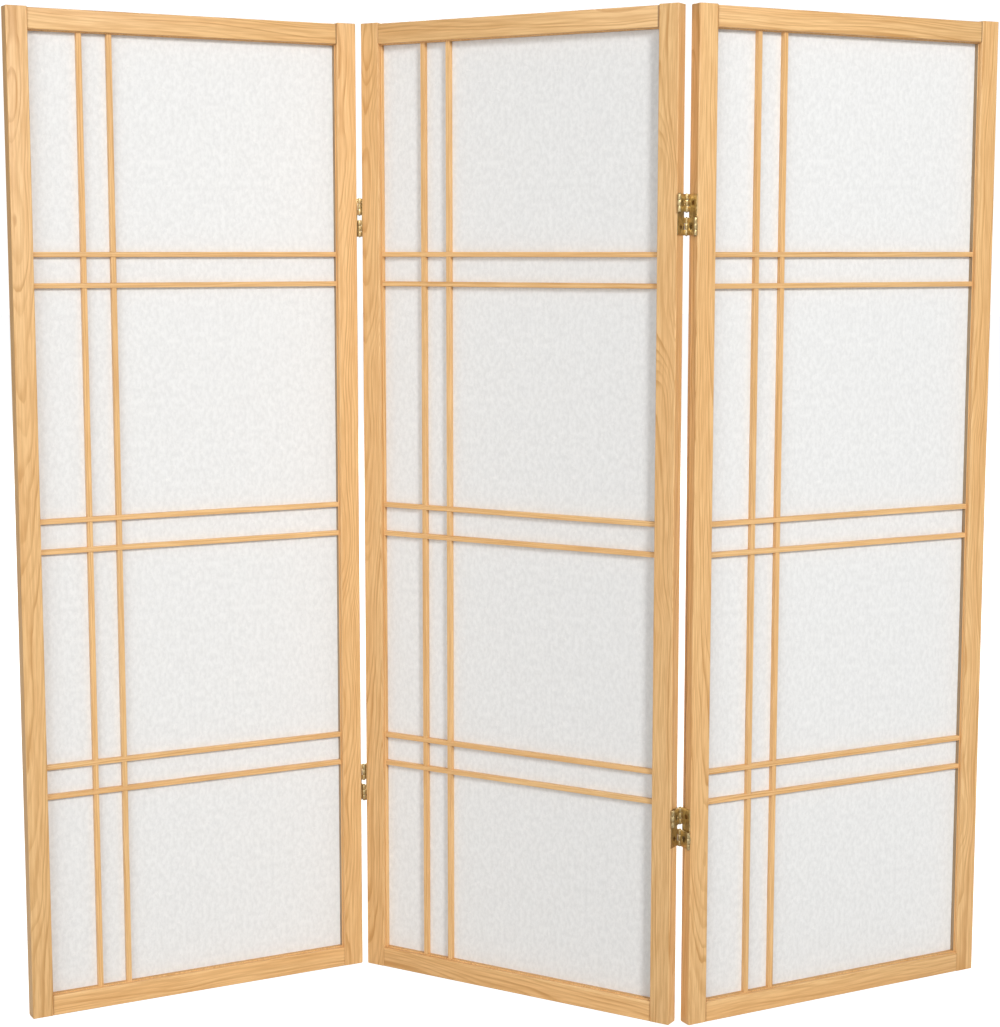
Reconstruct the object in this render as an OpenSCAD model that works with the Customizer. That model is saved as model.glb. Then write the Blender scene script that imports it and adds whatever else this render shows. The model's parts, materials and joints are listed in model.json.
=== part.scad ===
// Folding shoji screen: three paper panels in wooden frames, joined by two-way hinges.
// Each panel is built in its own frame: X along its width, Y from front to back, Z up.
// The origin is on the floor, under the middle of the middle panel.

/* [Screen] */
// Width of one panel
panel_w = 444.5; // [360:0.5:560]
// Height of the stiles
panel_h = 1219; // [1000:1:1900]
// Thickness of the frame, front to back
frame_t = 18; // [15:0.5:24]
// Angle that each joint is folded away from flat, as the screen stands
fold = 59.4; // [30:0.2:100]

/* [Frame] */
// Width of a stile
stile_w = 26; // [20:0.5:40]
// Height of the top and bottom rails
rail_h = 25; // [20:0.5:40]
// How far the stiles stand above the top rail
horn = 1.2; // [0.5:0.1:10]
// Radius of the eased edges of the frame
frame_ease = 1.3; // [0.6:0.1:2]
// Length of the stub tenons on the rails
tenon_l = 12; // [8:0.5:16]
// Thickness of the stub tenons on the rails
tenon_t = 6; // [4:0.5:8]
// Wood left above and below a rail's tenon
tenon_shoulder = 4; // [3:0.5:6]

/* [Lattice] */
// Width of a lattice strip, seen from the front
strip_w = 6.1; // [5:0.1:8]
// Depth of a lattice strip, front to back
strip_d = 6.4; // [5:0.1:8]
// How far the lattice is set back behind the face of the frame
setback = 5.6; // [3:0.1:8]
// Radius of the eased edges of a strip
strip_ease = 0.5; // [0.2:0.1:1]
// How much of the border strips shows inside the frame
border_show = 1.2; // [0.8:0.1:3]
// Distance from a panel's left edge to the middle of its two uprights
upright_x = 107.2; // [80:0.1:180]
// Spacing of the two strips of a pair, centre to centre
pair_pitch = 36.9; // [20:0.1:60]
// Height of the middle of the bottom pair of crossbars
bottom_pair_z = 292.4; // [150:0.1:350]
// Height of the middle of the middle pair of crossbars
middle_pair_z = 594.3; // [450:0.1:700]
// Height of the middle of the top pair of crossbars
top_pair_z = 913.4; // [800:0.1:940]
// Size of the square stub tenons on the strips
strip_tenon = 3; // [2:0.1:4]

/* [Paper] */
// Thickness of the paper
paper_t = 0.4; // [0.2:0.1:0.8]
// How far the paper runs past the opening of the frame, behind the border strips
paper_lap = 4; // [2:0.1:4.4]

/* [Hinges] */
// Height of a hinge
hinge_h = 48; // [40:0.5:60]
// Open space between the upper and the lower half of a hinge
hinge_window = 6.4; // [5:0.2:10]
// Height of the middle of the bottom hinges
bottom_hinge_z = 245; // [100:1:400]
// Distance from the stile's top to the middle of the top hinges
top_hinge_drop = 241; // [100:1:400]
// Thickness of the brass sheet of the leaves and links
sheet_t = 0.8; // [0.6:0.1:1.2]
// Outer radius of a knuckle
knuckle_r = 2.2; // [1.9:0.1:3]
// Radius of a hinge pin
pin_r = 1; // [0.8:0.1:1.3]
// Thickness of the domed head on each end of a pin
pin_head_h = 0.6; // [0.4:0.1:1]
// Radius of the domed heads of the pins
pin_head_r = 1.7; // [1.4:0.1:1.9]
// How far the pin axes stand out from the faces of the frame
axis_proud = 0.5; // [0.3:0.1:2]
// How far a leaf stays back from the faces of the frame
leaf_margin = 0.6; // [0.4:0.1:2]

/* [Screws] */
// Radius of a screw head
screw_head_r = 3; // [2.4:0.1:3.4]
// Radius of a screw's shank
screw_r = 1.5; // [1.2:0.1:2]
// Length of a screw
screw_l = 14; // [10:0.5:18]
// Radius of the hole in a link through which a screw is driven
access_r = 3.5; // [3:0.1:4.5]

/* [Clearances] */
// Space round glued joints
glue_gap = 0.1; // [0.05:0.05:0.2]
// Space round a pin in its bore
pin_gap = 0.05; // [0.02:0.01:0.1]
// Space between hinge parts that turn past each other
turn_gap = 0.3; // [0.3:0.05:0.6]

/* [Hidden] */
$fn = 48;
// How far a cut runs on past the face that it opens
far = 5;

// Frame
opening_w = panel_w - 2 * stile_w;
rail_top_z = panel_h - horn;
opening_top_z = rail_top_z - rail_h;

// Lattice: the border strips are let into a groove round the inside of the frame
strip_front_y = setback;
strip_back_y = setback + strip_d;
paper_back_y = strip_back_y + paper_t;
border_sunk = strip_w - border_show;
groove_depth = border_sunk + glue_gap;
border_left_x = stile_w + border_show;
border_right_x = panel_w - border_left_x;
border_bottom_z = rail_h + border_show;
border_top_z = opening_top_z - border_show;
upright_xs = [upright_x - pair_pitch / 2, upright_x + pair_pitch / 2];
pair_zs = [bottom_pair_z, middle_pair_z, top_pair_z];
crossbar_zs = [for (z = pair_zs, side = [-1, 1]) z + side * pair_pitch / 2];
strip_middle_y = strip_front_y + strip_d / 2;

// Tenons of the rails: each starts a shoulder's height from the rail's outer edge
tenon_h = rail_h - groove_depth - 2 * tenon_shoulder;
bottom_tenon_z = tenon_shoulder;
top_tenon_z = rail_top_z - tenon_shoulder - tenon_h;

// Hinges: the knuckles fill the gap between two panels, but for the sheets and their clearances
panel_gap = 2 * (knuckle_r + turn_gap + sheet_t);
front_axis_y = -axis_proud;
back_axis_y = frame_t + axis_proud;
half_h = (hinge_h - hinge_window) / 2;
knuckle_h = (half_h - 2 * turn_gap) / 3;
upper_half_z = (hinge_window + half_h) / 2;
lower_half_z = -upper_half_z;
hinge_zs = [bottom_hinge_z, panel_h - top_hinge_drop];

// Screws: the head is a right-angled cone with a crossed slot in it
head_cone_h = screw_head_r - screw_r;
slot_l = 1.2 * screw_head_r;
slot_w = 0.5 * screw_r;
slot_depth = 0.6 * head_cone_h;

// Names
PANELS = ["left", "middle", "right"];
PANEL_PIECES = ["left_stile", "right_stile", "top_rail", "bottom_rail", "lattice_border",
                "left_upright", "right_upright", "bottom_crossbars", "middle_crossbars",
                "top_crossbars", "paper", "screws"];
JOINTS = ["left", "right"];
LEVELS = ["bottom", "top"];
HINGE_PIECES = ["left_leaf", "right_leaf", "upper_link", "lower_link", "upper_pins", "lower_pins"];

function panel_node(panel, piece) = str(panel, "_panel_", piece);
function hinge_node(joint, level, piece) = str(joint, "_", LEVELS[level], "_hinge_", piece);

// ---- placing ----

// From the middle panel's own frame to the screen's
module place_middle() {
    rotate([0, 0, -fold / 2])
        translate([-panel_w / 2, -frame_t / 2, 0])
            children();
}

// The left panel turns on the front axis of its joint, and the right panel on the back axis
module place_left() {
    place_middle()
        translate([-panel_gap / 2, front_axis_y, 0])
            rotate([0, 0, fold])
                translate([-panel_w - panel_gap / 2, -front_axis_y, 0])
                    children();
}

module place_right() {
    place_middle()
        translate([panel_w + panel_gap / 2, back_axis_y, 0])
            rotate([0, 0, fold])
                translate([panel_gap / 2, -back_axis_y, 0])
                    children();
}

module place_panel(panel) {
    if (panel == "left") place_left() children();
    if (panel == "middle") place_middle() children();
    if (panel == "right") place_right() children();
}

// The middle line of the gap on either side of a panel, which is where hinge pieces are drawn
module on_right_edge() {
    translate([panel_w + panel_gap / 2, 0, 0]) children();
}

module on_left_edge() {
    translate([-panel_gap / 2, 0, 0]) children();
}

// ---- shared shapes ----

// A rectangle from the origin with rounded corners, made of true arcs
module eased_rectangle(w, h, r) {
    translate([r, 0]) square([w - 2 * r, h]);
    translate([0, r]) square([w, h - 2 * r]);
    for (x = [r, w - r], y = [r, h - r]) translate([x, y]) circle(r);
}

// An upright bar with all four long edges eased
module upright_bar(w, d, l, r) {
    linear_extrude(l) eased_rectangle(w, d, r);
}

// A level bar along X with all four long edges eased
module level_bar(l, d, h, r) {
    rotate([90, 0, 90]) linear_extrude(l) eased_rectangle(d, h, r);
}

// A box given by its lowest and its highest corner
module box_between(low, high) {
    translate(low) cube(high - low);
}

// ---- frame ----

// The stub tenon on a rail's end at x, pointing out, or its mortise when it is grown by a gap
module rail_tenon(x, out, bottom_z, gap) {
    y = (frame_t - tenon_t) / 2;
    low_x = out > 0 ? x - gap : x - tenon_l - gap;
    box_between([low_x, y - gap, bottom_z - gap],
                [low_x + tenon_l + 2 * gap, y + tenon_t + gap, bottom_z + tenon_h + gap]);
}

// A stile with its inner face at inner_x. Inward is 1 when the opening lies to its right.
// The groove for the border strips and the paper runs round the opening, stopped at the corners.

module stile(inner_x, inward) {
    color("#e8bf88") difference() {
        translate([inward > 0 ? inner_x - stile_w : inner_x, 0, 0])
            intersection() {
                upright_bar(stile_w, frame_t, panel_h, frame_ease);
                translate([0, frame_t, 0]) rotate([90, 0, 0])
                    linear_extrude(frame_t) eased_rectangle(stile_w, panel_h, frame_ease);
            }
        groove_low_x = inward > 0 ? inner_x - groove_depth : inner_x - far;
        box_between([groove_low_x, strip_front_y - glue_gap, rail_h - groove_depth],
                    [groove_low_x + groove_depth + far, paper_back_y + glue_gap,
                     opening_top_z + groove_depth]);
        for (z = [bottom_tenon_z, top_tenon_z]) rail_tenon(inner_x, -inward, z, glue_gap);
    }
}

module left_stile() {
    difference() {
        stile(stile_w, 1);
        on_left_edge() screw_holes(1);
    }
}

module right_stile() {
    difference() {
        stile(panel_w - stile_w, -1);
        on_right_edge() screw_holes(-1);
    }
}

// A rail with its inner face at inner_z. Inward is 1 when the opening lies above it.
module rail(bottom_z, inner_z, inward, tenon_z) {
    color("#e8bf88") {
        difference() {
            translate([stile_w, 0, bottom_z]) level_bar(opening_w, frame_t, rail_h, frame_ease);
            groove_low_z = inward > 0 ? inner_z - groove_depth : inner_z - far;
            box_between([stile_w - far, strip_front_y - glue_gap, groove_low_z],
                        [panel_w - stile_w + far, paper_back_y + glue_gap,
                         groove_low_z + groove_depth + far]);
        }
        rail_tenon(stile_w, -1, tenon_z, 0);
        rail_tenon(panel_w - stile_w, 1, tenon_z, 0);
    }
}

module bottom_rail() {
    rail(0, rail_h, 1, bottom_tenon_z);
}

module top_rail() {
    rail(opening_top_z, opening_top_z, -1, top_tenon_z);
}

// ---- lattice ----

// The stub tenon of a strip, half of it in the border, or its mortise when it is grown by a gap
module strip_tenon_box(at, gap) {
    s = strip_tenon / 2 + gap;
    translate(at) cube([2 * s, 2 * s, 2 * s], center = true);
}

module border_mortises() {
    for (z = crossbar_zs, x = [border_left_x, border_right_x])
        strip_tenon_box([x, strip_middle_y, z], glue_gap);
    for (x = upright_xs, z = [border_bottom_z, border_top_z])
        strip_tenon_box([x, strip_middle_y, z], glue_gap);
}

// Four strips round the inside of the frame: the sides run full height, the ends fit between them
module lattice_border() {
    side_z = rail_h - border_sunk;
    side_l = opening_top_z - rail_h + 2 * border_sunk;
    end_l = border_right_x - border_left_x - 2 * glue_gap;
    color("#e4ba82") difference() {
        union() {
            for (x = [border_left_x - strip_w, border_right_x])
                translate([x, strip_front_y, side_z]) upright_bar(strip_w, strip_d, side_l, strip_ease);
            for (z = [border_bottom_z - strip_w, border_top_z])
                translate([border_left_x + glue_gap, strip_front_y, z])
                    level_bar(end_l, strip_d, strip_w, strip_ease);
        }
        border_mortises();
    }
}

// An upright runs between the border's ends and is notched in front for the crossbars
module lattice_upright(x) {
    color("#e6bd86") {
        difference() {
            translate([x - strip_w / 2, strip_front_y, border_bottom_z])
                upright_bar(strip_w, strip_d, border_top_z - border_bottom_z, strip_ease);
            for (z = crossbar_zs)
                box_between([x - strip_w, strip_front_y - far, z - strip_w / 2 - glue_gap],
                            [x + strip_w, strip_middle_y + glue_gap / 2, z + strip_w / 2 + glue_gap]);
        }
        for (z = [border_bottom_z, border_top_z]) strip_tenon_box([x, strip_middle_y, z], 0);
    }
}

// A pair of crossbars, each notched behind for the uprights
module crossbar_pair(pair_z) {
    color("#e6bd86") for (z = [pair_z - pair_pitch / 2, pair_z + pair_pitch / 2]) {
        difference() {
            translate([border_left_x, strip_front_y, z - strip_w / 2])
                level_bar(border_right_x - border_left_x, strip_d, strip_w, strip_ease);
            for (x = upright_xs)
                box_between([x - strip_w / 2 - glue_gap, strip_middle_y - glue_gap / 2, z - strip_w],
                            [x + strip_w / 2 + glue_gap, strip_back_y + far, z + strip_w]);
        }
        for (x = [border_left_x, border_right_x]) strip_tenon_box([x, strip_middle_y, z], 0);
    }
}

module paper() {
    color("#f4f2ee")
        box_between([stile_w - paper_lap, strip_back_y, rail_h - paper_lap],
                    [panel_w - stile_w + paper_lap, paper_back_y, opening_top_z + paper_lap]);
}

// ---- hinges, drawn flat about the middle of the gap, with the left panel at -X ----

module knuckle(axis_y, middle_z) {
    translate([0, axis_y, middle_z - knuckle_h / 2]) cylinder(h = knuckle_h, r = knuckle_r);
}

module knuckle_bore(axis_y) {
    translate([0, axis_y, -hinge_h]) cylinder(h = 2 * hinge_h, r = pin_r + pin_gap);
}

// The sheet between a leaf's plate and its knuckle, which steps in towards the axis
module leaf_bend(axis_y, middle_z, toward) {
    plate_x = panel_gap / 2;
    bend_y = axis_y + toward * (knuckle_r + axis_proud);
    translate([0, 0, middle_z - knuckle_h / 2]) linear_extrude(knuckle_h)
        polygon([[-plate_x, bend_y], [-plate_x + sheet_t, bend_y],
                 [-knuckle_r + sheet_t, axis_y], [-knuckle_r, axis_y]]);
}

// A countersunk hole from a leaf's face into the stile, or the screw itself when gap is 0
module countersink(gap) {
    cylinder(h = screw_l, r = screw_r + gap);
    cylinder(h = head_cone_h + gap, r1 = screw_head_r + gap, r2 = screw_r + gap);
}

module screw_places(side) {
    for (z = hinge_zs, half_z = [lower_half_z, upper_half_z])
        translate([side * (panel_gap / 2 - sheet_t), frame_t / 2, z + half_z])
            rotate([0, side * 90, 0]) children();
}

module screw_holes(side) {
    screw_places(side) countersink(glue_gap);
}

module screws(side) {
    color("#9a7436") screw_places(side) difference() {
        countersink(0);
        for (turn = [0, 90]) rotate([0, 0, turn])
            translate([-slot_l / 2, -slot_w / 2, -far])
                cube([slot_l, slot_w, far + slot_depth]);
    }
}

// The lip of a leaf's plate beside the link's own knuckle, which leaves no slit to see through
module leaf_lip(axis_y, middle_z) {
    plate_x = -panel_gap / 2;
    reach = knuckle_h / 2 + turn_gap;
    box_between([plate_x, min(axis_y, frame_t / 2), middle_z - reach],
                [plate_x + sheet_t, max(axis_y, frame_t / 2), middle_z + reach]);
}

// The left panel's leaf: knuckles on the front axis above, and on the back axis below
module left_leaf(hinge_z) {
    plate_x = -panel_gap / 2;
    color("#a37c3c") difference() {
        translate([0, 0, hinge_z]) difference() {
            union() {
                box_between([plate_x, leaf_margin, -hinge_h / 2],
                            [plate_x + sheet_t, frame_t - leaf_margin, hinge_h / 2]);
                leaf_lip(front_axis_y, upper_half_z);
                leaf_lip(back_axis_y, lower_half_z);
                for (step = [-1, 1]) {
                    z = step * (knuckle_h + turn_gap);
                    knuckle(front_axis_y, upper_half_z + z);
                    leaf_bend(front_axis_y, upper_half_z + z, 1);
                    knuckle(back_axis_y, lower_half_z + z);
                    leaf_bend(back_axis_y, lower_half_z + z, -1);
                }
            }
            knuckle_bore(front_axis_y);
            knuckle_bore(back_axis_y);
        }
        screw_holes(-1);
    }
}

// The right panel's leaf is the same piece, turned round
module right_leaf(hinge_z) {
    translate([0, frame_t, 0]) rotate([0, 0, 180]) left_leaf(hinge_z);
}

// A link joins the front axis to the back axis, between the knuckles of the leaves
module link(middle_z) {
    clear = knuckle_r + turn_gap;
    color("#a88242") difference() {
        translate([0, 0, middle_z]) union() {
            box_between([-sheet_t / 2, front_axis_y + clear, -half_h / 2],
                        [sheet_t / 2, back_axis_y - clear, half_h / 2]);
            box_between([-sheet_t / 2, front_axis_y, -knuckle_h / 2],
                        [sheet_t / 2, back_axis_y, knuckle_h / 2]);
            for (y = [front_axis_y, back_axis_y]) knuckle(y, 0);
        }
        translate([0, 0, middle_z]) {
            knuckle_bore(front_axis_y);
            knuckle_bore(back_axis_y);
            translate([-panel_gap, frame_t / 2, 0]) rotate([0, 90, 0])
                cylinder(h = 2 * panel_gap, r = access_r);
        }
    }
}

module pin_head() {
    cap_r = (pin_head_r * pin_head_r + pin_head_h * pin_head_h) / (2 * pin_head_h);
    intersection() {
        translate([0, 0, pin_head_h - cap_r]) sphere(cap_r);
        cylinder(h = pin_head_h, r = pin_head_r);
    }
}

// The two pins of one half of a hinge, each with a domed head at both ends
module pins(middle_z) {
    reach = half_h / 2 + turn_gap;
    color("#8c6a30") for (y = [front_axis_y, back_axis_y]) translate([0, y, middle_z]) {
        translate([0, 0, -reach]) cylinder(h = 2 * reach, r = pin_r);
        translate([0, 0, reach]) pin_head();
        translate([0, 0, -reach]) mirror([0, 0, 1]) pin_head();
    }
}

// ---- naming ----

module panel_piece(panel, piece) {
    if (piece == "left_stile") left_stile_of(panel);
    if (piece == "right_stile") right_stile_of(panel);
    if (piece == "top_rail") top_rail();
    if (piece == "bottom_rail") bottom_rail();
    if (piece == "lattice_border") lattice_border();
    if (piece == "left_upright") lattice_upright(upright_xs[0]);
    if (piece == "right_upright") lattice_upright(upright_xs[1]);
    if (piece == "bottom_crossbars") crossbar_pair(bottom_pair_z);
    if (piece == "middle_crossbars") crossbar_pair(middle_pair_z);
    if (piece == "top_crossbars") crossbar_pair(top_pair_z);
    if (piece == "paper") paper();
    if (piece == "screws") panel_screws(panel);
}

// Only the edges that carry hinges are drilled: the screen's outer edges stay plain
module left_stile_of(panel) {
    if (panel == "left") stile(stile_w, 1);
    else left_stile();
}

module right_stile_of(panel) {
    if (panel == "right") stile(panel_w - stile_w, -1);
    else right_stile();
}

module panel_screws(panel) {
    if (panel != "left") on_left_edge() screws(1);
    if (panel != "right") on_right_edge() screws(-1);
}

// The upper link rides with the middle panel, and the lower link with the outer one
module hinge_piece(joint, hinge_z, piece) {
    left_panel = joint == "left" ? "left" : "middle";
    right_panel = joint == "left" ? "middle" : "right";
    if (piece == "left_leaf") place_panel(left_panel) on_right_edge() left_leaf(hinge_z);
    if (piece == "right_leaf") place_panel(right_panel) on_left_edge() right_leaf(hinge_z);
    if (piece == "upper_link") beside_middle(joint) link(hinge_z + upper_half_z);
    if (piece == "upper_pins") beside_middle(joint) pins(hinge_z + upper_half_z);
    if (piece == "lower_link") beside_outer(joint) link(hinge_z + lower_half_z);
    if (piece == "lower_pins") beside_outer(joint) pins(hinge_z + lower_half_z);
}

module beside_middle(joint) {
    if (joint == "left") place_middle() on_left_edge() children();
    else place_middle() on_right_edge() children();
}

module beside_outer(joint) {
    if (joint == "left") place_left() on_right_edge() children();
    else place_right() on_left_edge() children();
}

for (panel = PANELS, piece = PANEL_PIECES)
    place_panel(panel) panel_piece(panel, piece);
for (joint = JOINTS, level = [0, 1], piece = HINGE_PIECES)
    hinge_piece(joint, hinge_zs[level], piece);
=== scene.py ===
# %% [markdown]
# # A folding shoji screen
# Three paper panels in pale spruce frames stand in a zigzag, joined edge to edge by brass hinges.
# The wood, paper and brass parts come in as a fixed model, at their real size and in their real place.
# This lesson gives each of them the finish of the real thing, and then lights and frames the screen.
# Loading comes first, because the planks' places and directions are worked out from the loaded parts.

# %% Load the parts
import json
import math

import bpy
from mathutils import Matrix, Vector


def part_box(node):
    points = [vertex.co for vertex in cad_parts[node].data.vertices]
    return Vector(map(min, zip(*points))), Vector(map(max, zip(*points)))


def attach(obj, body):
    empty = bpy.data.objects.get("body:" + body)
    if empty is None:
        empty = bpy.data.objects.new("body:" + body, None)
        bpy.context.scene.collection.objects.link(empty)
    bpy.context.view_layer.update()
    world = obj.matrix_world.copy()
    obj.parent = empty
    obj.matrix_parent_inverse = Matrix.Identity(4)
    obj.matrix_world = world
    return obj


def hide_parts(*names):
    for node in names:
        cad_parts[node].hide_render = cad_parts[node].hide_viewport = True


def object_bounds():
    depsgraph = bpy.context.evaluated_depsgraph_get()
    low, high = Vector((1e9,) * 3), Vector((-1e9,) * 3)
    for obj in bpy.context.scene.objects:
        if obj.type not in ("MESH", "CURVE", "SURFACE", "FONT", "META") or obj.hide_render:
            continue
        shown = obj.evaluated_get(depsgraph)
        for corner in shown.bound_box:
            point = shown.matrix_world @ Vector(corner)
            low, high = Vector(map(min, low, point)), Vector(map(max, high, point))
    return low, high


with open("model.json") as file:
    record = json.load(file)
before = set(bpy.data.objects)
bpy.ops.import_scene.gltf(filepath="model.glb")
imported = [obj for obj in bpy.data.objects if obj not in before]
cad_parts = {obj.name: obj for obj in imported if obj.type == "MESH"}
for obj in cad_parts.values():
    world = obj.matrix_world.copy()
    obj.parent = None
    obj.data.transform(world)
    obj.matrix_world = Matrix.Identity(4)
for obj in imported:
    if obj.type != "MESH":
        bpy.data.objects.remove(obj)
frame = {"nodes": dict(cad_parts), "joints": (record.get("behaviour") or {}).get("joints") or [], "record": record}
parts = frame["nodes"]
cad_low, cad_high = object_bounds()
print(len(parts), "parts, overall", [round(side, 3) for side in cad_high - cad_low])

# %% [markdown]
# ## Which way each panel faces
# A plank's grain runs along the plank, so a finish has to know how each panel is turned.
# The fold could be measured on the meshes, but each joint's lower limit already is the angle that
# opens the screen out flat, so the zigzag turns each panel half of that, one way or the other.

# %% The panels' own directions
fold = math.radians(-frame["joints"][0]["range_deg"][0])
PANEL_TURNS = {"left": fold / 2, "middle": -fold / 2, "right": fold / 2}
UP = Vector((0, 0, 1))


def along_panel(panel):
    """The direction of the panel's width, from its left edge to its right."""
    return Vector((math.cos(PANEL_TURNS[panel]), math.sin(PANEL_TURNS[panel]), 0))


def into_panel(panel):
    """The direction from the panel's front to its back."""
    return UP.cross(along_panel(panel))


def middle_of(part):
    """The middle of a part's box."""
    low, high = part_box(part)
    return (low + high) / 2


for panel in PANEL_TURNS:
    print(panel, "panel is turned", round(math.degrees(PANEL_TURNS[panel]), 1), "degrees")

# %% [markdown]
# ## Rounded edges
# Planed wood is rubbed over with sandpaper, and hinge sheet is tumbled, so neither has a knife edge.
# The parts come with sharp or plainly chamfered edges, and a fixed part is never reshaped. So a copy
# is made, its loose triangles are merged into whole faces, and a Bevel modifier rounds what is left
# sharp. The copy then stands for the part and moves with the same body.
# Slivers with no height are dissolved first, because a bevel that meets one throws out a long spike.
# The bevel takes a little off each outside edge, and leaves a small fillet in each inside corner.

# %% Round a part's edges
scene = bpy.context.scene
shown = dict(parts)
body_of = {part: body for body, members in frame["record"]["behaviour"]["bodies"].items()
           for part in members}
MERGE_STEP = 0.000002
SLIVER_HEIGHT = 0.00001
FLAT_ANGLE = math.radians(1)
SMOOTH_ANGLE = math.radians(35)
WOOD_ROUNDING = 0.0005
BRASS_ROUNDING = 0.0002


def round_edges(part, width, sharper_than):
    """Shows a copy of the part whose edges are rounded, and rides it on the part's body."""
    piece = bpy.data.objects.new(part + "_rounded", parts[part].data.copy())
    scene.collection.objects.link(piece)
    bpy.ops.object.select_all(action="DESELECT")
    piece.select_set(True)
    bpy.context.view_layer.objects.active = piece
    bpy.ops.object.mode_set(mode="EDIT")
    bpy.ops.mesh.select_all(action="SELECT")
    bpy.ops.mesh.remove_doubles(threshold=MERGE_STEP)
    bpy.ops.mesh.dissolve_degenerate(threshold=SLIVER_HEIGHT)
    bpy.ops.mesh.dissolve_limited(angle_limit=FLAT_ANGLE)
    bpy.ops.object.mode_set(mode="OBJECT")
    rounding = piece.modifiers.new("rounding", "BEVEL")
    rounding.width = width
    rounding.segments = 2
    rounding.angle_limit = math.radians(sharper_than)
    rounding.use_clamp_overlap = False
    bpy.ops.object.modifier_apply(modifier=rounding.name)
    bpy.ops.object.shade_smooth_by_angle(angle=SMOOTH_ANGLE)
    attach(piece, body_of[part])
    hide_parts(part)
    shown[part] = piece


for part in parts:
    if part.endswith(("_leaf", "_link")):
        round_edges(part, BRASS_ROUNDING, sharper_than=40)
    elif part.endswith(("_stile", "_rail")):
        round_edges(part, WOOD_ROUNDING, sharper_than=30)
rounded = [shown[part] for part in parts if shown[part] != parts[part]]
print("rounded", len(rounded), "parts,", sum(len(piece.data.polygons) for piece in rounded), "faces")

# %% [markdown]
# ## Short helpers for shader nodes
# Finishes are built from many small nodes. Placing each by hand takes five lines, so these helpers do
# it in one: any node with its inputs, a sum on numbers or on vectors, and how far one vector reaches
# along another.
# An input is given a plain value or another node's socket, and the helper works out which it is.

# %% Node helpers


def feed(tree, socket, value):
    """Links a socket to another, or sets its own value."""
    if isinstance(value, bpy.types.NodeSocket):
        tree.links.new(value, socket)
    else:
        socket.default_value = value


def place(tree, kind, inputs=None, **settings):
    """A node of that kind, with its settings and its named inputs."""
    node = tree.nodes.new("ShaderNode" + kind)
    for name, value in settings.items():
        setattr(node, name, value)
    for name, value in (inputs or {}).items():
        feed(tree, node.inputs[name], value)
    return node


def do_sum(tree, kind, operation, values):
    """A node that does a sum on the values, which are fed to its inputs in order."""
    node = place(tree, kind, operation=operation)
    for socket, value in zip(node.inputs, values):
        feed(tree, socket, value)
    return node.outputs


def reckon(tree, operation, *values):
    """A sum on numbers."""
    return do_sum(tree, "Math", operation, values)["Value"]


def reckon_vector(tree, operation, *values):
    """A sum on vectors."""
    return do_sum(tree, "VectorMath", operation, values)["Vector"]


def reach_along(tree, vector, way):
    """How far a vector reaches in some direction."""
    return do_sum(tree, "VectorMath", "DOT_PRODUCT", (vector, way))["Value"]


print("node helpers ready")

# %% [markdown]
# ## Helpers for patterns and colours
# The patterns below start as noise, cut down to the part of its range that should show, and a colour
# is a mix of two by such a pattern. A picture would need no helpers, but would stop at a face's edge.
# An effect that several materials share becomes a group, and each material gives it its own values.

# %% Pattern helpers


def rescale(tree, value, low, high, new_low, new_high):
    """A value moved smoothly from one range to another."""
    node = place(tree, "MapRange", interpolation_type="SMOOTHSTEP")
    for socket, number in zip(node.inputs[:5], (value, low, high, new_low, new_high)):
        feed(tree, socket, number)
    return node.outputs["Result"]


def mix_colours(tree, share, first, second, blend_type="MIX"):
    """Two colours mixed or multiplied by a share. The node's colours are its sockets 6, 7 and 2."""
    node = place(tree, "Mix", data_type="RGBA", blend_type=blend_type)
    feed(tree, node.inputs["Factor"], share)
    feed(tree, node.inputs[6], first)
    feed(tree, node.inputs[7], second)
    return node.outputs[2]


def noise(tree, where, scale, detail=2.0, roughness=0.5):
    """Soft noise from 0 to 1. Scale is three numbers, in blotches for each metre."""
    stretched = reckon_vector(tree, "MULTIPLY", where, scale)
    return place(tree, "TexNoise", {"Vector": stretched, "Scale": 1.0, "Detail": detail,
                                    "Roughness": roughness}).outputs


def new_group(name, inputs, outputs):
    """A node group with its sockets, and the sockets of its two ends."""
    group = bpy.data.node_groups.new(name, "ShaderNodeTree")
    for label, kind, default in inputs:
        socket = group.interface.new_socket(label, in_out="INPUT", socket_type="NodeSocket" + kind)
        if default is not None:
            socket.default_value = default
    for label in outputs:
        group.interface.new_socket(label, in_out="OUTPUT", socket_type="NodeSocketFloat")
    return group, group.nodes.new("NodeGroupInput").outputs, group.nodes.new("NodeGroupOutput").inputs


def use_group(tree, group, inputs):
    """A group placed in a material with its own values."""
    node = place(tree, "Group", node_tree=group)
    for name, value in inputs.items():
        feed(tree, node.inputs[name], value)
    return node.outputs


def new_material(name):
    """A material, its node tree and its shader."""
    material = bpy.data.materials.new(name)
    material.use_nodes = True
    return material, material.node_tree, material.node_tree.nodes["Principled BSDF"]


print("pattern helpers ready")

# %% [markdown]
# ## Growth rings
# A plank is cut from a log, and the lines on its faces are the log's rings, cut through at a slant.
# A flat striped picture would look wrong where it meets an edge or an end, so the rings are made in
# depth, from the distance to the heart of the tree. The heart line sways a little along its length,
# which draws the waves and pointed arches of real spruce.
# In all the wood's noise, the first scale is along the grain and the other two are across it.

# %% The distance from the heart
SLOW_BENDS = (5, 9, 9)
QUICK_BENDS = (17, 60, 60)
QUICK_SHARE = (0.09, 0.09, 0.09)
HALVES = (0.5, 0.5, 0.5)


def bends(group, where, scale, detail):
    """Noise that bends a place either way."""
    return reckon_vector(group, "SUBTRACT", noise(group, where, scale, detail)["Color"], HALVES)


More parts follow.
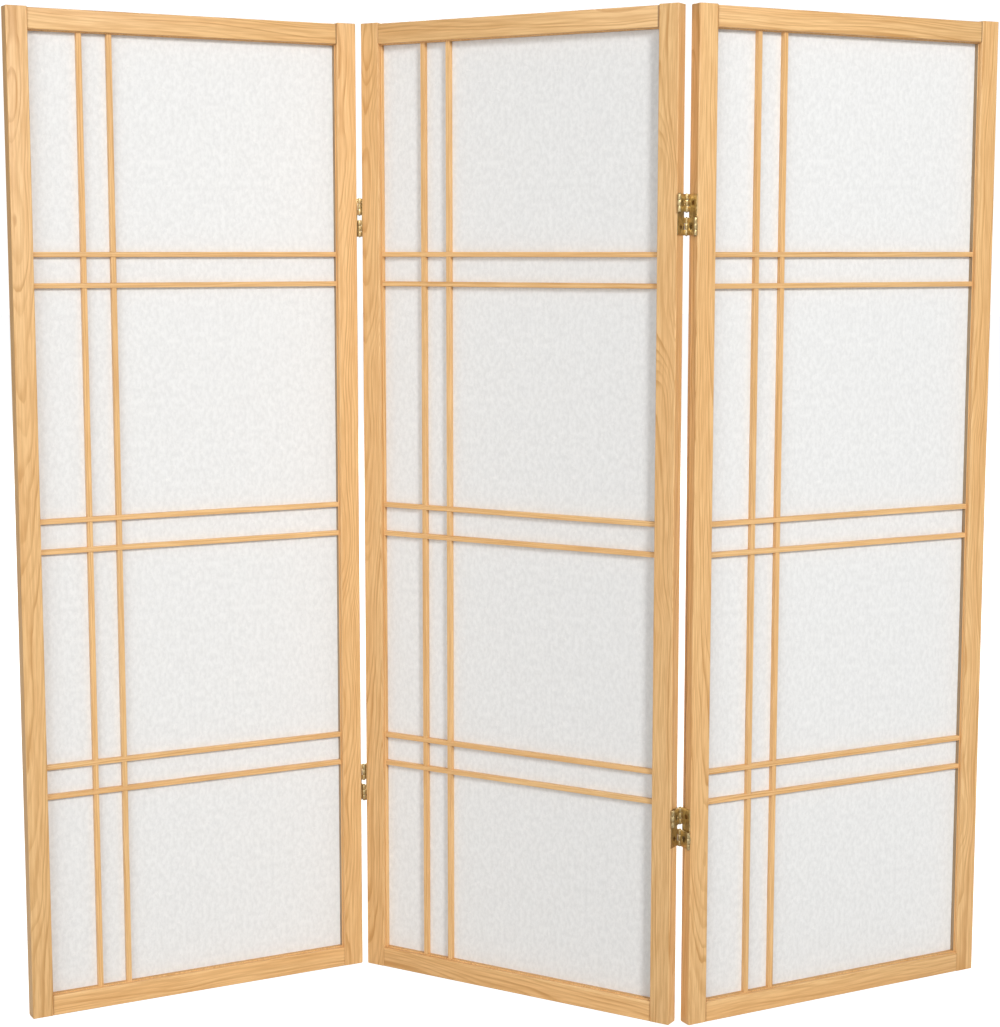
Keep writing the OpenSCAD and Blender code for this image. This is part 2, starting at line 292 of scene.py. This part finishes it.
def distance_from_heart(group, given, seeded):
    """How far a place is from the swaying heart line, which runs along X."""
    quick = reckon_vector(group, "MULTIPLY", bends(group, seeded, QUICK_BENDS, 2.0), QUICK_SHARE)
    sway = reckon_vector(group, "ADD", bends(group, seeded, SLOW_BENDS, 1.0), quick)
    reach = place(group, "CombineXYZ", {"X": 0.0, "Y": given["Sway"], "Z": given["Sway"]}).outputs[0]
    swayed = reckon_vector(group, "ADD", given["Vector"], reckon_vector(group, "MULTIPLY", sway, reach))
    sides = place(group, "SeparateXYZ", {"Vector": swayed}).outputs
    squares = [reckon(group, "MULTIPLY", sides[side], sides[side]) for side in ("Y", "Z")]
    return reckon(group, "SQRT", reckon(group, "ADD", *squares))


print("the heart line sways in bends of", 1 / SLOW_BENDS[0], "m")

# %% [markdown]
# ## Late wood
# The distance from the heart, counted in rings, gives the year that each bit of wood grew in. Each year
# ends in a narrow dark line. No two years are alike, so each ring gets its own width and strength, and
# each line fades and comes back along its length. Even stripes would be simpler, but look printed.
# The noise that makes the years uneven runs out from the heart, so its first scale is that way.

# %% The growth rings group
RING_UNEVENNESS = (190, 1, 1)
UNEVEN_YEARS = 2.4
DARKENS = (0.42, 0.86)
ENDS = (0.90, 0.995)
FAINTEST_YEAR = 0.35
FADING_LINES = (16, 90, 90)
BROAD_BANDS = (1.6, 60, 60)


def count_years(group, given, radius):
    """How many years from the heart a place is, where some years grew wider than others."""
    ringed = place(group, "CombineXYZ", {"X": radius, "Y": given["Seed"]}).outputs[0]
    uneven = noise(group, ringed, RING_UNEVENNESS, 1.0)["Fac"]
    return reckon(group, "ADD", reckon(group, "DIVIDE", radius, given["Ring Width"]),
                  reckon(group, "MULTIPLY", uneven, UNEVEN_YEARS))


def late_wood(group, given, seeded, years):
    """How dark the ring is: 0 in the pale early wood, and up to 1 where a year ends."""
    part_of_year = reckon(group, "FRACT", years)
    line = reckon(group, "MULTIPLY", rescale(group, part_of_year, *DARKENS, 0.0, 1.0),
                  rescale(group, part_of_year, *ENDS, 1.0, 0.0))
    year = reckon(group, "ADD", reckon(group, "FLOOR", years), given["Seed"])
    chance = place(group, "TexWhiteNoise", {"W": year}, noise_dimensions="1D").outputs["Value"]
    strength = rescale(group, chance, 0.0, 1.0, FAINTEST_YEAR, 1.0)
    fading = rescale(group, noise(group, seeded, FADING_LINES, 1.0)["Fac"], 0.3, 0.65, 0.5, 1.0)
    return reckon(group, "MULTIPLY", line, reckon(group, "MULTIPLY", strength, fading))


def make_growth_rings():
    """The group: dark lines at the ends of years, and broad bands of warmer wood."""
    group, given, result = new_group(
        "growth_rings",
        [("Vector", "Vector", None), ("Ring Width", "Float", 0.0026), ("Sway", "Float", 0.009),
         ("Seed", "Float", 0.0)],
        ["Late Wood", "Broad"])
    seeded = reckon_vector(group, "ADD", given["Vector"],
                           place(group, "CombineXYZ", {"X": given["Seed"]}).outputs[0])
    years = count_years(group, given, distance_from_heart(group, given, seeded))
    group.links.new(late_wood(group, given, seeded, years), result["Late Wood"])
    group.links.new(noise(group, seeded, BROAD_BANDS, 1.0)["Fac"], result["Broad"])
    return group


growth_rings = make_growth_rings()
print("growth rings:", len(growth_rings.nodes), "nodes")

# %% [markdown]
# ## Wood fibres
# Between the rings, planed wood shows fine streaks along the grain, the cut ends of its fibres.
# Streaks of colour alone would look printed, because real ones also catch the light. So the group has
# finer hairs beside its streaks, and the hairs are used as a height.
# The noise is stretched: hundreds of blotches to the metre across the grain, a few along it.

# %% The fibres group
STREAKS = (16, 430, 430)
HAIRS = (38, 1500, 1500)


def make_fibres():
    """The group: streaks that show as colour, and finer hairs that show as height."""
    group, given, result = new_group(
        "wood_fibres", [("Vector", "Vector", None), ("Seed", "Float", 0.0)], ["Streaks", "Hairs"])
    seeded = reckon_vector(group, "ADD", given["Vector"],
                           place(group, "CombineXYZ", {"Y": given["Seed"]}).outputs[0])
    streaks = noise(group, seeded, STREAKS, detail=3.0, roughness=0.6)["Fac"]
    hairs = noise(group, seeded, HAIRS, detail=2.0, roughness=0.6)["Fac"]
    group.links.new(rescale(group, streaks, 0.36, 0.66, 0.0, 1.0), result["Streaks"])
    group.links.new(rescale(group, hairs, 0.40, 0.70, 0.0, 1.0), result["Hairs"])
    return group


wood_fibres = make_fibres()
print("wood fibres:", len(wood_fibres.nodes), "nodes")

# %% [markdown]
# ## Painted shade on the wood
# Where two planks meet, the narrow gap between them falls into shade, and the inner face of a border
# strip that looks to the left lies in shade. Both are painted shade: they could be thin dark pieces of
# their own, but shade has no thickness. So they are colours in the wood's finish, put on by place for a
# joint, and by the way a face looks for the side in shade. A direction is found by how far the face's normal
# reaches along it: 1 is straight that way.

# %% Painted shade at joints and on one side
# Painted shade: a dark colour for the shadow in the line where two planks meet.
JOINT_SHADE_COLOUR = (0.16, 0.075, 0.028, 1)
# Painted shade: a dull tint for the side of a strip that lies in shade.
SIDE_SHADE_TINT = (0.46, 0.53, 0.70, 1)
SHADE_REACH = (0.0010, 0.0020)
LOOKS_THAT_WAY = (0.75, 0.95)


def darken_joints(tree, colour, source, length_way, joints):
    """Painted shade darkens a rail where its shoulders meet the stiles, in the gap's shadow. Each joint is a place
    and a strength.
    """
    along = reach_along(tree, source["Object"], length_way)
    for joint, darkness in joints:
        off = reckon(tree, "ABSOLUTE", reckon(tree, "SUBTRACT", along, joint))
        colour = mix_colours(tree, rescale(tree, off, *SHADE_REACH, darkness, 0.0), colour, JOINT_SHADE_COLOUR)
    return colour


def paint_side_shade(tree, colour, source, glue_way):
    """Painted shade: dulls the faces that look in one direction, the side that lies in shade."""
    looking = reach_along(tree, source["Normal"], glue_way)
    in_shade = rescale(tree, looking, *LOOKS_THAT_WAY, 0.0, 1.0)
    return mix_colours(tree, in_shade, colour, SIDE_SHADE_TINT, "MULTIPLY")


# The painted joint shade reaches this far from a joint.
print("dirt reaches", 1000 * SHADE_REACH[1], "mm from a joint")

# %% [markdown]
# ## Lacquered spruce
# Every plank gets the same recipe, with its own place in the log, so that no two look alike.
# The recipe could be one material for all, but a stile stands and a rail lies, so each plank has a
# Mapping node that turns the pattern to its own length. The ends of a plank show cut fibres and
# drink more lacquer, so they are a little darker: they are found where the face looks along the grain.

# %% The spruce recipe
EARLY_WOOD = (0.89, 0.57, 0.26, 1)
LATE_WOOD = (0.56, 0.27, 0.075, 1)
WARM_WOOD = (0.82, 0.47, 0.19, 1)
END_WOOD = (0.80, 0.74, 0.66, 1)
WARM_SHARE = 0.55
RING_SHARE = 0.8
STREAK_SHARE = 0.4


def plank_axes(length_way, face_way):
    """A turn whose X is along the plank's length, Y across its face and Z into it."""
    return Matrix((length_way, face_way.cross(length_way), face_way)).transposed()


def mapped(tree, source, middle, axes):
    """Places measured from a middle, along some axes."""
    mapping = place(tree, "Mapping", {"Vector": source["Object"]}, vector_type="TEXTURE")
    mapping.inputs["Location"].default_value = middle
    mapping.inputs["Rotation"].default_value = axes.to_euler("XYZ")
    return mapping.outputs["Vector"]


def wood_colour(tree, rings, fibres, tint):
    """Pale wood with warmer bands, dark ring lines and streaks, in the plank's own tint."""
    warm = rescale(tree, rings["Broad"], 0.35, 0.7, 0.0, WARM_SHARE)
    ground = mix_colours(tree, warm, EARLY_WOOD, WARM_WOOD)
    lines = reckon(tree, "MULTIPLY", rings["Late Wood"], RING_SHARE)
    ringed = mix_colours(tree, lines, ground, LATE_WOOD)
    streaks = reckon(tree, "MULTIPLY", fibres["Streaks"], STREAK_SHARE)
    streaked = mix_colours(tree, streaks, ringed, LATE_WOOD)
    return mix_colours(tree, 1.0, streaked, (tint, tint, tint, 1), "MULTIPLY")


def make_spruce(name, heart, axes, ring_width, sway, seed, tint, joints=None, glue_way=None):
    """Lacquered spruce, cut from a tree whose heart line passes through a point along the axes' X."""
    material, tree, shader = new_material(name)
    source = place(tree, "TexCoord").outputs
    where = mapped(tree, source, heart, axes)
    rings = use_group(tree, growth_rings, {"Vector": where, "Ring Width": ring_width, "Sway": sway,
                                           "Seed": seed})
    fibres = use_group(tree, wood_fibres, {"Vector": where, "Seed": seed})
    colour = wood_colour(tree, rings, fibres, tint)
    end = rescale(tree, reckon(tree, "ABSOLUTE", reach_along(tree, source["Normal"], axes.col[0])),
                  *LOOKS_THAT_WAY, 0.0, 1.0)
    colour = mix_colours(tree, end, colour, mix_colours(tree, 1.0, colour, END_WOOD, "MULTIPLY"))
    # Painted shade in the joint lines, where the gap between planks falls dark.
    if joints:
        colour = darken_joints(tree, colour, source, *joints)
    # Painted shade on the faces that look one way, the side of the strip that lies in shade.
    if glue_way:
        colour = paint_side_shade(tree, colour, source, glue_way)
    feed(tree, shader.inputs["Base Color"], colour)
    rough = reckon(tree, "ADD", 0.44, reckon(tree, "MULTIPLY", fibres["Streaks"], 0.12))
    feed(tree, shader.inputs["Roughness"], reckon(tree, "ADD", rough, reckon(tree, "MULTIPLY", end, 0.2)))
    height = reckon(tree, "ADD", reckon(tree, "MULTIPLY", fibres["Hairs"], 0.5),
                    reckon(tree, "MULTIPLY", rings["Late Wood"], 0.5))
    bump = place(tree, "Bump", {"Height": height, "Strength": 0.35, "Distance": 0.00012})
    feed(tree, shader.inputs["Normal"], bump.outputs["Normal"])
    shader.inputs["Coat Weight"].default_value = 0.18
    shader.inputs["Coat Roughness"].default_value = 0.28
    shader.inputs["Specular IOR Level"].default_value = 0.4
    return material


print("spruce recipe ready")

# %% [markdown]
# ## Cutting a plank
# Planks from one log would share their rings, so each is cut from its own place in its own log, a
# little askew. Random numbers would change with every run, so each plank's number is shuffled by a
# sum that gives the same result each time. Stock says how near the heart a kind of plank is cut, how
# wide its rings are, how much they sway, and how far it may lean from the log's line, in degrees.

# %% Cut a plank
STILE_STOCK = {"near": 0.010, "far": 0.024, "ring_width": 0.0020, "sway": 0.022, "lean": 2.4}
RAIL_STOCK = {"near": 0.010, "far": 0.022, "ring_width": 0.0020, "sway": 0.012, "lean": 1.6}
STRIP_STOCK = {"near": 0.03, "far": 0.06, "ring_width": 0.0022, "sway": 0.006, "lean": 0.5}
MOST_ASKEW = 0.8


def shuffled(number, low, high):
    """A number between low and high that looks picked at random, and is the same each time."""
    return low + (high - low) * math.modf(abs(math.sin(number * 12.9898 + 4.1) * 43758.5453))[0]


def small_turn(number, most, axis):
    """A turn of up to so many degrees, either way."""
    return Matrix.Rotation(math.radians(shuffled(number, -most, most)), 3, axis)


def finish_part(part, material):
    """Gives a part its material."""
    materials = shown[part].data.materials
    materials.clear()
    materials.append(material)


def finish_plank(panel, piece, slot, length_way, log, stock, **marks):
    """Cuts one plank of a panel from its own log, with any painted shade at its joints or on one side."""
    part = f"{panel}_panel_{piece}"
    straight = plank_axes(length_way, into_panel(panel))
    axes = straight @ small_turn(log + 0.2, MOST_ASKEW, "Z") @ small_turn(log + 0.4, stock["lean"], "Y")
    side = 1 if shuffled(log, 0, 1) > 0.5 else -1
    cut = Vector((shuffled(log + 0.3, -2, 2), side * shuffled(log + 0.5, stock["near"], stock["far"]),
                  shuffled(log + 0.7, 0.022, 0.040)))
    seed = round(shuffled(log + 0.9, 1, 40), 2)
    tint = shuffled(log + 0.6, 0.96, 1.03)
    finish_part(part, make_spruce("spruce_" + part, middle_of(part) + axes @ cut, axes,
                                  stock["ring_width"], stock["sway"], seed, tint, **marks))


print("planks lean up to", STILE_STOCK["lean"], "degrees from the log's line")

# %% [markdown]
# ## Stiles and rails
# The frame of each panel is four planks. The stiles stand full height, and the rails lie between them.
# Their grain runs along their length, and their faces are cut some way off the heart of the tree,
# so that the rings run down the face as a few wavy lines.
# The joint at the top right of each panel stands a little open, so the painted shade in its line is
# much darker than in the others.

# %% Finish the frames
STILE_LOGS = {"left_stile": 10, "right_stile": 11}
TIGHT_JOINT = 0.15
OPEN_JOINT = 0.7
RAILS = (("top_rail", 13, OPEN_JOINT), ("bottom_rail", 16, TIGHT_JOINT))


def reaches(part, way):
    """How far a part reaches in some direction, lowest and highest."""
    steps = [corner.co.dot(way) for corner in parts[part].data.vertices]
    return min(steps), max(steps)


for number, panel in enumerate(PANEL_TURNS):
    for piece, log in STILE_LOGS.items():
        finish_plank(panel, piece, "frame_wood", UP, 10 * number + log, STILE_STOCK)
    width_way = along_panel(panel)
    left_joint = reaches(f"{panel}_panel_left_stile", width_way)[1]
    right_joint = reaches(f"{panel}_panel_right_stile", width_way)[0]
    # Each rail gets painted shade at its joints, darkest where the top rail meets the right stile.
    for piece, log, right_shade in RAILS:
        joints = ((left_joint, TIGHT_JOINT), (right_joint, right_shade))
        finish_plank(panel, piece, "frame_wood", width_way, 10 * number + log, RAIL_STOCK,
                     joints=(width_way, joints))
print("finished", len(PANEL_TURNS) * (len(STILE_LOGS) + len(RAILS)), "frame planks")

# %% [markdown]
# ## The lattice strips
# The uprights and crossbars are thin strips of the same spruce. A strip is too narrow for arches, so
# it is cut far from the heart, where the rings run nearly straight.
# The paper is glued to the border strips. The inner face of the right-hand strip lies in shade, so a
# painted shade goes on the faces that look to the left.

# %% Finish the lattice
UPRIGHT_LOGS = {"left_upright": 72, "right_upright": 73}
CROSSBAR_LOGS = {"bottom_crossbars": 90, "middle_crossbars": 91, "top_crossbars": 92}
BORDER_LOG = 130

for number, panel in enumerate(PANEL_TURNS):
    for piece, log in UPRIGHT_LOGS.items():
        finish_plank(panel, piece, "lattice_wood", UP, 10 * number + log, STRIP_STOCK)
    for piece, log in CROSSBAR_LOGS.items():
        finish_plank(panel, piece, "lattice_wood", along_panel(panel), 10 * number + log, STRIP_STOCK)
    # The border strips get painted shade on the faces that look to the left.
    finish_plank(panel, "lattice_border", "lattice_wood", UP, BORDER_LOG + number, STRIP_STOCK,
                 glue_way=-along_panel(panel))
print("finished the lattice strips")

# %% [markdown]
# ## Paper pulp
# The paper is white, made from long plant fibres. It is cloudy where the pulp lay thicker, and fine
# fibres show in it. Cloudiness could be one noise, but pulp settles in small upright flecks with
# larger clouds behind them, so two sizes are mixed. A fibre is drawn as a thin level line of another
# noise, which wanders as a real hair does. The paper has no depth, so the noise is flattened.

# %% The paper pulp group
CLOUDS = (40, 52, 1)
FLECKS = (135, 205, 1)
CURLS = (75, 75, 1)
BREAKS = (120, 120, 1)
HAIR_WIDTH = 0.012
FLECK_HEIGHT = 0.8


def make_paper_pulp():
    """The group: clouds and flecks of pulp, loose fibres, and the height of both."""
    group, given, result = new_group("paper_pulp", [("Vector", "Vector", None)],
                                     ["Clouds", "Flecks", "Fibres", "Height"])
    flat = reckon_vector(group, "MULTIPLY", given["Vector"], (1, 1, 0))
    clouds = noise(group, flat, CLOUDS)["Fac"]
    flecks = noise(group, flat, FLECKS, detail=3.0, roughness=0.6)["Fac"]
    curls = noise(group, flat, CURLS, detail=1.5)["Fac"]
    level = reckon(group, "ABSOLUTE", reckon(group, "SUBTRACT", curls, 0.5))
    broken = rescale(group, noise(group, flat, BREAKS, detail=0.0)["Fac"], 0.5, 0.62, 0.0, 1.0)
    fibres = reckon(group, "MULTIPLY", rescale(group, level, 0.0, HAIR_WIDTH, 1.0, 0.0), broken)
    height = reckon(group, "ADD", reckon(group, "MULTIPLY", flecks, FLECK_HEIGHT), fibres)
    group.links.new(rescale(group, clouds, 0.3, 0.7, 0.0, 1.0), result["Clouds"])
    group.links.new(rescale(group, flecks, 0.3, 0.7, 0.0, 1.0), result["Flecks"])
    group.links.new(fibres, result["Fibres"])
    group.links.new(height, result["Height"])
    return group


paper_pulp = make_paper_pulp()
print("paper pulp:", len(paper_pulp.nodes), "nodes")

# %% [markdown]
# ## Shoji paper
# The sheet is matt and nearly white. It is a little greyer where the pulp is thin, and the flecks are
# also a height, so that a low light shows its rough face. One material could serve all three sheets,
# but the flecks stand upright on each panel, so each sheet's pattern is turned to its own panel.

# %% Finish the paper
PAPER_WHITE = (0.881, 0.881, 0.870, 1)
PAPER_THIN = (0.769, 0.769, 0.760, 1)
FIBRE_WHITE = (0.97, 0.96, 0.94, 1)
CLOUD_SHARE = 0.12
FLECK_SHARE = 0.72
FIBRE_SHARE = 0.35


def make_paper(name, part, axes):
    """Matt fibre paper, with its pattern turned to the panel."""
    material, tree, shader = new_material(name)
    source = place(tree, "TexCoord").outputs
    pulp = use_group(tree, paper_pulp, {"Vector": mapped(tree, source, middle_of(part), axes)})
    thickness = reckon(tree, "ADD", reckon(tree, "MULTIPLY", pulp["Clouds"], CLOUD_SHARE),
                       reckon(tree, "MULTIPLY", pulp["Flecks"], FLECK_SHARE))
    pulpy = mix_colours(tree, thickness, PAPER_THIN, PAPER_WHITE)
    threads = reckon(tree, "MULTIPLY", pulp["Fibres"], FIBRE_SHARE)
    feed(tree, shader.inputs["Base Color"], mix_colours(tree, threads, pulpy, FIBRE_WHITE))
    rough = reckon(tree, "ADD", 0.86, reckon(tree, "MULTIPLY", pulp["Flecks"], 0.1))
    feed(tree, shader.inputs["Roughness"], rough)
    bump = place(tree, "Bump", {"Height": pulp["Height"], "Strength": 0.5, "Distance": 0.0002})
    feed(tree, shader.inputs["Normal"], bump.outputs["Normal"])
    shader.inputs["Specular IOR Level"].default_value = 0.2
    return material


for panel in PANEL_TURNS:
    sheet = panel + "_panel_paper"
    finish_part(sheet, make_paper("paper_" + panel, sheet, plank_axes(UP, into_panel(panel))))
print("finished", len(PANEL_TURNS), "sheets of paper")

# %% [markdown]
# ## Aged brass
# The hinges are brass that has darkened with age, in some patches more than in others.
# One even gold would look like plastic, so a cloudy mask carries the tarnish, and fine scratches
# change how sharply the metal shines.

# %% The tarnish group
SCRATCHES = (500, 500, 4200)


def make_tarnish():
    """The group: a mask of tarnish, and scratches. Blotches are counted for each metre."""
    group, given, result = new_group(
        "tarnish", [("Vector", "Vector", None), ("Blotches", "Float", 160.0)], ["Mask", "Scratches"])
    blotches = place(group, "CombineXYZ", {side: given["Blotches"] for side in "XYZ"}).outputs[0]
    clouds = noise(group, given["Vector"], blotches, detail=4.0, roughness=0.6)["Fac"]
    scratches = noise(group, given["Vector"], SCRATCHES)["Fac"]
    group.links.new(rescale(group, clouds, 0.38, 0.66, 0.0, 1.0), result["Mask"])
    group.links.new(rescale(group, scratches, 0.45, 0.7, 0.0, 1.0), result["Scratches"])
    return group


tarnish = make_tarnish()
print("tarnish:", len(tarnish.nodes), "nodes")

# %% [markdown]
# ## The hinges
# Leaves and links are sheet, the pins are turned and have gone darker, and the screws are redder.
# One brass could serve them all, but then a hinge reads as one lump. So one recipe makes three, each
# with its own clean colour, tarnished colour, roughness and size of blotch.

# %% Finish the hinges, pins and screws


def make_brass(name, bright, dark, roughness, blotches):
    """Brass of two colours, clean and tarnished."""
    material, tree, shader = new_material(name)
    aged = use_group(tree, tarnish, {"Vector": place(tree, "TexCoord").outputs["Object"],
                                     "Blotches": blotches})
    feed(tree, shader.inputs["Base Color"], mix_colours(tree, aged["Mask"], bright, dark))
    dulled = reckon(tree, "ADD", roughness, reckon(tree, "MULTIPLY", aged["Mask"], 0.16))
    scratched = reckon(tree, "ADD", dulled, reckon(tree, "MULTIPLY", aged["Scratches"], 0.08))
    feed(tree, shader.inputs["Roughness"], scratched)
    bump = place(tree, "Bump", {"Height": aged["Scratches"], "Strength": 0.2, "Distance": 0.00002})
    feed(tree, shader.inputs["Normal"], bump.outputs["Normal"])
    shader.inputs["Metallic"].default_value = 1.0
    return material


sheet_brass = make_brass("sheet_brass", (0.72, 0.57, 0.30, 1), (0.50, 0.36, 0.17, 1), 0.33, 160)
pin_brass = make_brass("pin_brass", (0.42, 0.30, 0.16, 1), (0.16, 0.11, 0.06, 1), 0.30, 300)
screw_brass = make_brass("screw_brass", (0.42, 0.25, 0.09, 1), (0.18, 0.10, 0.035, 1), 0.34, 300)

for part in parts:
    if part.endswith("_screws"):
        finish_part(part, screw_brass)
    elif part.endswith("_pins"):
        finish_part(part, pin_brass)
    elif "_hinge_" in part:
        finish_part(part, sheet_brass)
print("finished the hinges, pins and screws")

# %% [markdown]
# ## Floor and world
# The screen stands on a plain pale floor that runs on into a white background.
# A white world and floor would look right by themselves, but they would light both walls of each
# recess as brightly as the faces, and the frames would look flat. So the world shines weakly, the
# floor is grey, and the camera alone sees them brighter than they are.
# The floor lies a hair below the frames, so that no faces coincide.

# %% Floor and world
SEEN_BRIGHTNESS = 0.85
SKY_STRENGTH = 0.26
FLOOR_DROP = 0.0004
WHITE = (1, 1, 1, 1)
scene.view_settings.view_transform = "Standard"


def seen_brightness(tree):
    """Brightness that the camera sees, and that lights nothing."""
    return reckon(tree, "MULTIPLY", place(tree, "LightPath").outputs["Is Camera Ray"], SEEN_BRIGHTNESS)


bpy.ops.object.select_all(action="DESELECT")
bpy.ops.mesh.primitive_circle_add(vertices=64, radius=30, fill_type="NGON", location=(0, 0, -FLOOR_DROP))
floor = bpy.context.object
floor.name = "floor"
floor_paint, floor_tree, floor_shader = new_material("floor_paint")
floor_shader.inputs["Base Color"].default_value = (0.55, 0.55, 0.55, 1)
floor_shader.inputs["Roughness"].default_value = 0.9
floor_shader.inputs["Emission Color"].default_value = WHITE
feed(floor_tree, floor_shader.inputs["Emission Strength"], seen_brightness(floor_tree))
floor.data.materials.append(floor_paint)

world = bpy.data.worlds.new("white_studio")
scene.world = world
world.use_nodes = True
sky = world.node_tree.nodes["Background"].inputs
feed(world.node_tree, sky["Strength"],
     reckon(world.node_tree, "ADD", seen_brightness(world.node_tree), SKY_STRENGTH))
sky["Color"].default_value = WHITE
print("floor and world ready")

# %% [markdown]
# ## The lights
# A key light stands to the right of the camera and throws the soft shadows beside the strips. A wider,
# weaker light on the left fills them, and a back light keeps the far side of the paper bright.
# One large light would be simpler, but it leaves the paper and the frame's two sides the same tone.

# %% Place the softboxes


def add_softbox(name, azimuth, elevation, distance, size, power):
    """A square light that looks at the screen. Azimuth is counted from the front, to the right."""
    aim = Vector((0, 0, (cad_low.z + cad_high.z) / 2))
    turn, rise = math.radians(azimuth), math.radians(elevation)
    away = Vector((math.sin(turn) * math.cos(rise), -math.cos(turn) * math.cos(rise), math.sin(rise)))
    lamp = bpy.data.lights.new(name, "AREA")
    lamp.shape = "SQUARE"
    lamp.size = size
    lamp.energy = power
    stand = bpy.data.objects.new(name, lamp)
    stand.location = aim + away * distance
    stand.rotation_euler = away.to_track_quat("Z", "Y").to_euler()
    scene.collection.objects.link(stand)


add_softbox("key_light", azimuth=28, elevation=26, distance=8, size=1.6, power=354)
add_softbox("fill_light", azimuth=-26, elevation=14, distance=8, size=5.5, power=216)
add_softbox("back_light", azimuth=180, elevation=28, distance=8, size=4.0, power=560)
print("lights:", [light.name for light in bpy.data.lights])

# %% [markdown]
# ## The camera
# The camera looks a little down at the middle panel, from waist height and almost straight in front.
# Its lens is a mild telephoto, and the small shift moves the picture without tilting it.

# %% Place the camera
TILT_DOWN = math.radians(7.162)
TURN_LEFT = math.radians(1.538)
camera_data = bpy.data.cameras.new("camera")
camera = bpy.data.objects.new("camera", camera_data)
scene.collection.objects.link(camera)
camera.location = (0.0445, -2.6191, 0.9358)
camera.rotation_euler = (math.radians(90) - TILT_DOWN, 0, TURN_LEFT)
camera_data.sensor_width = 36
camera_data.lens = 74.63
camera_data.shift_x = 0.0048
camera_data.shift_y = 0.0051
scene.camera = camera
print("camera", round(-camera.location.y, 2), "m in front")
